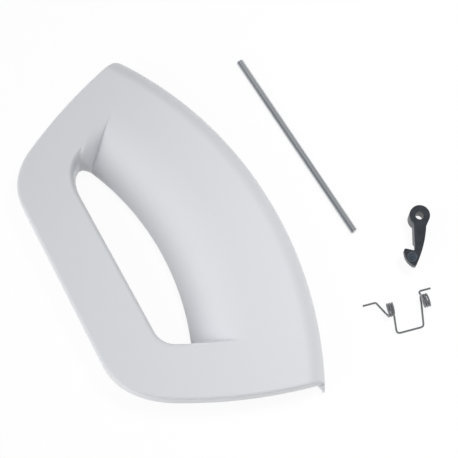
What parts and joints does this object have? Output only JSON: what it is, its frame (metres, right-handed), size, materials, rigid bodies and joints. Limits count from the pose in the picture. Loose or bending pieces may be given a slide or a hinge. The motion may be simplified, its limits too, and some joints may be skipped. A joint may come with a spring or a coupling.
{
  "type": "washing machine door handle",
  "caption": "Washing machine door handle kit laid out flat: curved grip moulding with finger opening and hinge lugs, plain hinge pin, latch hook and double torsion spring",
  "frame": {"origin": "middle of the hinge bore, halfway between the outer faces of the two lugs, 5.2 mm over the surface that the kit lies on", "axes": "+Y along the hinge axis towards the handle's upper end, +X away from the middle of the door, +Z out of the face"},
  "size_m": [0.1772, 0.196, 0.0218],
  "materials": {
    "white_plastic": "satin white injection-moulded plastic",
    "pin_steel": "ground round bar",
    "hook_metal": "dark grey as cast",
    "spring_steel": "drawn spring wire"
  },
  "bodies": {
    "root": {"grip_moulding": "white_plastic", "hinge_pin": "pin_steel", "latch_hook": "hook_metal", "torsion_spring": "spring_steel"}
  },
  "joints": []
}
